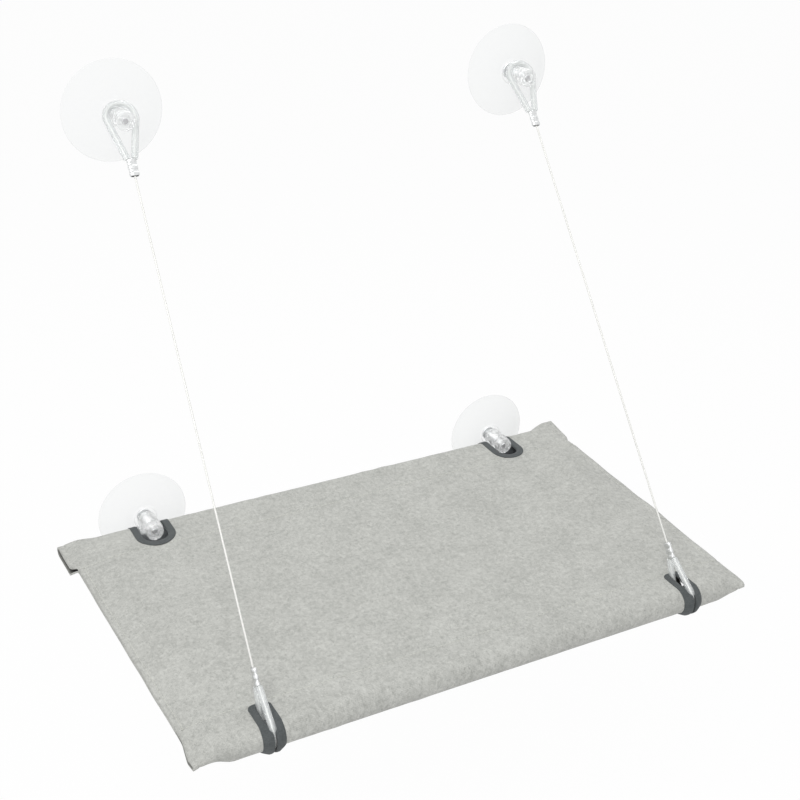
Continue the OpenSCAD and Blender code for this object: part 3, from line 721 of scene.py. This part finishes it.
def woven(name, light, dark, warp_mm, weft_mm, speck, depth, sheen, shaded_pockets=False):
    """A plain weave of uneven threads, each with its own shade, mottled and flecked with dark fibres.

    If asked, the colour is darkened towards near black by ambient occlusion: painted shade deep in the
    pockets and hollows."""
    material = finish_of(
        name, light, 0.88, Sheen_Weight=sheen, Sheen_Roughness=0.5, Specular_IOR_Level=0.25)
    tree = material.node_tree
    add, link, shader = tree.nodes.new, tree.links.new, tree.nodes["Principled BSDF"]
    flat, split = add("ShaderNodeUVMap"), add("ShaderNodeSeparateXYZ")
    flat.uv_map = "threads"
    link(flat.outputs["UV"], split.inputs["Vector"])

    def sums(operation, *values):
        return calc(tree, operation, *values)

    def uneven(across, along, detail=2.0, rough=0.5, curl=0.0):
        """Noise over the flat cloth, so many spots to the metre across it and along it."""
        stretch, noise = add("ShaderNodeMapping"), add("ShaderNodeTexNoise")
        stretch.inputs["Scale"].default_value = (across, along, 1)
        noise.inputs["Scale"].default_value, noise.inputs["Detail"].default_value = 1.0, detail
        noise.inputs["Roughness"].default_value, noise.inputs["Distortion"].default_value = rough, curl
        link(flat.outputs["UV"], stretch.inputs["Vector"])
        link(stretch.outputs["Vector"], noise.inputs["Vector"])
        return noise.outputs["Fac"]

    wander = sums("MULTIPLY", sums("SUBTRACT", uneven(70, 70), 0.5), 0.0016)
    across = sums("MULTIPLY", sums("ADD", split.outputs["X"], wander), 1000 * math.pi / warp_mm)
    along = sums("MULTIPLY", sums("ADD", split.outputs["Y"], wander), 1000 * math.pi / weft_mm)
    warp_wave, weft_wave = sums("SINE", across), sums("SINE", along)
    warp_up = sums("MULTIPLY_ADD", sums("MULTIPLY", warp_wave, weft_wave), 0.5, 0.5)
    weft_up = sums("SUBTRACT", 1.0, warp_up)

    def laid_over(warp, weft):
        """What shows of the warp and of the weft, as they pass over and under each other."""
        return sums("ADD", sums("MULTIPLY", warp, warp_up), sums("MULTIPLY", weft, weft_up))

    height = laid_over(sums("ABSOLUTE", warp_wave), sums("ABSOLUTE", weft_wave))
    threads = laid_over(uneven(560 / warp_mm, 200, 3.0), uneven(200, 560 / weft_mm, 3.0))
    fleck, mottle = uneven(speck, speck * 0.85, 5.0, 0.66, 0.7), uneven(22, 20, 4.0, 0.95)
    dark_fibres = sums("POWER", uneven(speck * 2.1, speck * 1.9, 2.0, 0.5, 1.6), 5.0)
    shade = sums("MULTIPLY", threads, 0.24)
    for part, share in ((fleck, 0.42), (mottle, 0.34), (dark_fibres, -1.1)):
        shade = sums("MULTIPLY_ADD", part, share, shade)
    # Painted shade: the colour is darkened to 78% between the threads, where they dip under each other.
    gap_shade = add("ShaderNodeMix")
    gap_shade.data_type, gap_shade.blend_type = "RGBA", "MULTIPLY"
    gap_shade.inputs["B"].default_value = (0.78, 0.78, 0.78, 1)
    link(sums("SUBTRACT", 1.0, sums("POWER", height, 0.6)), gap_shade.inputs["Factor"])
    link(between_shades(tree, shade, (dark, light), (0.32, 0.58)), gap_shade.inputs["A"])
    colour = gap_shade.outputs["Result"]
    # Painted shade: ambient occlusion mixes the colour towards near black where the cloth is closed in.
    if shaded_pockets:
        occlusion, pocket_shade = add("ShaderNodeAmbientOcclusion"), add("ShaderNodeMix")
        occlusion.inputs["Distance"].default_value = 0.03
        pocket_shade.data_type, pocket_shade.inputs["A"].default_value = "RGBA", (0.012, 0.011, 0.01, 1)
        link(sums("POWER", occlusion.outputs["AO"], 2.0), pocket_shade.inputs["Factor"])
        link(colour, pocket_shade.inputs["B"])
        colour = pocket_shade.outputs["Result"]
    link(colour, shader.inputs["Base Color"])
    relief = add("ShaderNodeBump")
    relief.inputs["Strength"].default_value, relief.inputs["Distance"].default_value = 0.5, depth
    spots = sums("MULTIPLY", sums("ADD", fleck, mottle), 1.5)
    link(sums("ADD", sums("MULTIPLY", height, 0.6), spots), relief.inputs["Height"])
    link(relief.outputs["Normal"], shader.inputs["Normal"])
    return material


canvas = woven(
    "heathered canvas", (0.586, 0.591, 0.559), (0.369, 0.374, 0.351),
    warp_mm=1.15, weft_mm=1.3, speck=250, depth=0.0006, sheen=0.15)
# The reverse is a slightly darker copy of the canvas, and painted darker still in the pockets: painted shade.
canvas_reverse_shaded = woven(
    "canvas reverse shaded", (0.56, 0.565, 0.53), (0.36, 0.365, 0.34),
    warp_mm=1.15, weft_mm=1.3, speck=250, depth=0.0006, sheen=0.1, shaded_pockets=True)
mesh.materials.append(canvas)
mesh.materials.append(canvas_reverse_shaded)
# The cloth's second shell, its reverse, takes the material with the painted shade.
thickness.material_offset = 1
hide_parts("seat_panel", "rear_pocket", "front_pocket")
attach(cover, "seat")

# Side hems, the cover's two long edges rolled under by 5 mm and sewn down between the pockets.
# Their threads follow the edge, and the fold makes a soft rounded rim.
hem_section = [
    (0.0052, -0.0008), (0.0052, -0.0016), (0.0045, -0.0021), (0.0012, -0.0022), (0.0001, -0.0018),
    (-0.0006, -0.0008), (-0.0006, 0.0002), (0.0001, 0.0008), (0.0009, 0.0009),
]
hem_start, hem_stop = rear_length + rear_stitch, panel_end - front_stitch
hem_overlap, hem_weave_step = 0.002, 0.004
for side, sign in SIDES.items():
    rings, places = [], []
    for v in np.linspace(hem_start - hem_overlap, hem_stop + hem_overlap, 84):
        width = float(half_width(sign, v))
        rings.append([on_cover(sign * (width - inset), v, out) for inset, out in hem_section])
        places.append([(sign * (width + hem_weave_step * j), v) for j in range(len(hem_section))])
    if sign > 0:
        rings, places = [ring[::-1] for ring in rings], [row[::-1] for row in places]
    hem = skin(f"side_hem_{side}", rings, sharp=60)
    unroll(hem.data, [place for row in places for place in row])
    hem.data.materials.append(canvas)
    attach(hem, "seat")

# Bindings, charcoal woven tape folded over the raw edge of each cut-out and sewn through. They
# keep the canvas from fraying where the clips and the wire loops pass.
tape_w, tape_t, slot_tape_r, slot_end_tape_w = 0.0065, 0.0008, 0.0096, 0.0015
tape = woven(
    "charcoal tape", (0.112, 0.122, 0.124), (0.062, 0.07, 0.072),
    warp_mm=0.75, weft_mm=0.9, speck=700, depth=0.0004, sheen=0.1)
cloth_face = cloth_t / 2
tape_face = cloth_face + tape_t
tape_section = [
    (tape_w, cloth_face), (tape_w, cloth_face + 0.0006), (tape_w - 0.0006, tape_face),
    (tape_w * 0.66, tape_face - 0.0001), (tape_w * 0.33, tape_face), (0.0006, tape_face),
    (-0.0003, cloth_face + 0.0005), (-0.0006, 0.0), (-0.0003, -cloth_face),
    (0.0006, -cloth_face - 0.0002), (0.004, -cloth_face - 0.0002), (0.004, -cloth_face),
]


def way_round(pocket, length, r, depth):
    """The edge of a cut-out, on the panel and back through the flap under it.

    Each place says how far the edge faces across and inwards, its distance along the cloth, and
    which way along the cloth is inwards there."""
    foot = int(np.argmin(pocket[:, 1]))
    flap_in = pocket[:foot + 1, 0][::-1]
    flap_gone = np.linspace(0, length, pocket_points)[:foot + 1][::-1]

    def on_flap(reach):
        return float(np.interp(reach, flap_in, flap_gone))

    turns = np.linspace(-math.pi / 2, math.pi / 2, 25)
    straight = np.linspace(length + depth - r, on_flap(depth - r), 70)[1:-1]
    edge = [(math.sin(a), math.cos(a), length + depth - r + r * math.cos(a), 1) for a in turns]
    edge += [(1, 0, v, 1) for v in straight]
    edge += [(-math.sin(a), math.cos(a), on_flap(depth - r + r * math.cos(a)), -1) for a in turns]
    return edge + [(-1, 0, v, 1) for v in straight[::-1]]


for end, side in ((end, side) for end in ("rear", "front") for side in SIDES):
    sign = SIDES[side]
    if end == "rear":
        cut_x, r = cup_x, rear_cut_r[sign]
        edge = way_round(rear_round, rear_length, r, rear_cut_depth[sign])
    else:
        cut_x, r = front_loop_x, slot_r
        edge = way_round(front_round, front_length, r, slot_depth)
    rings, places, gone_round = [], [], 0.0
    for facing_x, facing_in, v, way in edge:
        half, wide = r, tape_w
        if end == "front":
            half = float(front_slot(cover_length - v)[0])
            wide = (slot_tape_r - half) * facing_x ** 2 + slot_end_tape_w * facing_in ** 2
        ring = []
        for over, out in tape_section:
            over = over * wide / tape_w if over > 0 else over
            from_seam = v + way * facing_in * over
            at = from_seam if end == "rear" else cover_length - from_seam
            ring.append(on_cover(sign * cut_x + facing_x * (half + over), at, out))
        gone_round += float(np.linalg.norm(ring[5] - rings[-1][5])) if rings else 0
        rings.append(ring)
        places.append([(over + out, gone_round) for over, out in tape_section])
    if end == "front":
        rings, places = [ring[::-1] for ring in rings], [row[::-1] for row in places]
    binding = skin(f"{end}_bound_edge_{side}", rings, loop=True, sharp=60)
    unroll(binding.data, [place for row in places for place in row])
    binding.data.materials.append(tape)
    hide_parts(f"{end}_binding_{side}")
    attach(binding, "seat")

# Stitching in thread of the canvas's own colour: one seam along each pocket and one along each
# hem, in short stitches that sink into the cloth at both ends.
stitch_l, stitch_pitch, stitch_r, stitch_end_inset = 0.0026, 0.0038, 0.00032, 0.004
stitch_arch, stitch_sink, stitch_rings, stitch_sides = 0.00015, 0.0006, 6, 6
sewing_thread = finish_of("sewing thread", (0.6, 0.61, 0.56), 0.7, Sheen_Weight=0.2)
grain(sewing_thread, 2500, ((0.5, 0.51, 0.46), (0.64, 0.65, 0.6)), 0.3, distance=0.0002)


def row_of_stitches(name, places):
    """Short arched stitches from one place on the cover to the next."""
    points, faces = [], []
    for (x0, v0), (x1, v1) in places:
        line = []
        for share in np.linspace(0, 1, stitch_rings):
            lift = cloth_face + stitch_arch * math.sin(math.pi * share) - stitch_sink
            line.append(Vector(on_cover(x0 + (x1 - x0) * share, v0 + (v1 - v0) * share, lift)))
        faces += faces_over(stitch_rings, stitch_sides, first=len(points))
        for ring in rings_along(line, stitch_r, stitch_sides):
            points += [tuple(point) for point in ring]
    data = bpy.data.meshes.new(name)
    data.from_pydata(points, [], faces)
    data.shade_smooth()
    row = bpy.data.objects.new(name, data)
    bpy.context.scene.collection.objects.link(row)
    data.materials.append(sewing_thread)
    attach(row, "seat")
    return row


for end, v in (("rear", rear_seam), ("front", front_seam)):
    places = []
    x, stop = stitch_end_inset - float(half_width(-1, v)), float(half_width(1, v)) - stitch_end_inset
    while x < stop:
        if all(cut_gap(np.array(at), np.array(v)) > tape_w for at in (x, x + stitch_l)):
            places.append(((x, v), (x + stitch_l, v)))
        x += stitch_pitch
    row_of_stitches(f"{end}_seam_stitches", places)
for side, sign in SIDES.items():
    places = []
    for v in np.arange(hem_start, hem_stop, stitch_pitch):
        ends = (v, v + stitch_l)
        places.append(tuple((sign * (float(half_width(sign, at)) - hem_stitch_inset), at) for at in ends))
    row_of_stitches(f"side_hem_stitches_{side}", places)

# The stage is a pale floor well below the seat and plain soft light from all round, with one
# large lamp over the room and one at the window. To the camera, to reflections and through
# clear plastic the sky is white and the floor nearly so, with a faint shadow on it.
floor_z, floor_half, floor_white, sky_light = -0.42, 12, 0.95, 0.62
floor_corners = [
    (x * floor_half, y * floor_half, floor_z) for x, y in ((-1, -1), (1, -1), (1, 1), (-1, 1))
]
floor_mesh = bpy.data.meshes.new("floor")
floor_mesh.from_pydata(floor_corners, [], [(0, 1, 2, 3)])
floor = bpy.data.objects.new("floor", floor_mesh)
bpy.context.scene.collection.objects.link(floor)


def seen_directly(tree):
    """1 for what the camera, a reflection or clear plastic sees."""
    rays = tree.nodes.new("ShaderNodeLightPath").outputs
    seen = calc(tree, "MAXIMUM", rays["Is Camera Ray"], rays["Is Glossy Ray"])
    return calc(tree, "MAXIMUM", seen, rays["Is Transmission Ray"])


pale = finish_of("pale floor", (0.86, 0.86, 0.86), 0.9)
tree = pale.node_tree
add, link = tree.nodes.new, tree.links.new
white, whitened = add("ShaderNodeEmission"), add("ShaderNodeMixShader")
white.inputs["Color"].default_value = (1, 1, 1, 1)
link(calc(tree, "MULTIPLY", seen_directly(tree), floor_white), whitened.inputs["Fac"])
link(tree.nodes["Principled BSDF"].outputs[0], whitened.inputs[1])
link(white.outputs[0], whitened.inputs[2])
seen_side, from_below = add("ShaderNodeNewGeometry"), add("ShaderNodeBsdfTransparent")
one_sided = add("ShaderNodeMixShader")
link(seen_side.outputs["Backfacing"], one_sided.inputs["Fac"])
link(whitened.outputs[0], one_sided.inputs[1])
link(from_below.outputs[0], one_sided.inputs[2])
link(one_sided.outputs[0], tree.nodes["Material Output"].inputs["Surface"])
floor_mesh.materials.append(pale)

world = bpy.data.worlds.new("soft room")
bpy.context.scene.world = world
world.use_nodes = True
tree = world.node_tree
sky, strength = tree.nodes["Background"], tree.nodes.new("ShaderNodeMapRange")
strength.inputs["To Min"].default_value, strength.inputs["To Max"].default_value = sky_light, 1.0
tree.links.new(seen_directly(tree), strength.inputs["Value"])
tree.links.new(strength.outputs["Result"], sky.inputs["Strength"])
sky.inputs["Color"].default_value = (1, 1, 1, 1)
lamp_aim = Vector((0, -0.17, 0.1))
lamps = (("room lamp", (-1.1, -1.5, 1.8), 1.6, 31), ("window light", (0.5, 0.9, 1.5), 1.4, 10))
for name, place, size, power in lamps:
    lamp = bpy.data.objects.new(name, bpy.data.lights.new(name, "AREA"))
    lamp.data.shape, lamp.data.size, lamp.data.energy = "DISK", size, power
    lamp.location = place
    lamp.rotation_euler = (lamp_aim - Vector(place)).to_track_quat("-Z", "Y").to_euler()
    bpy.context.scene.collection.objects.link(lamp)
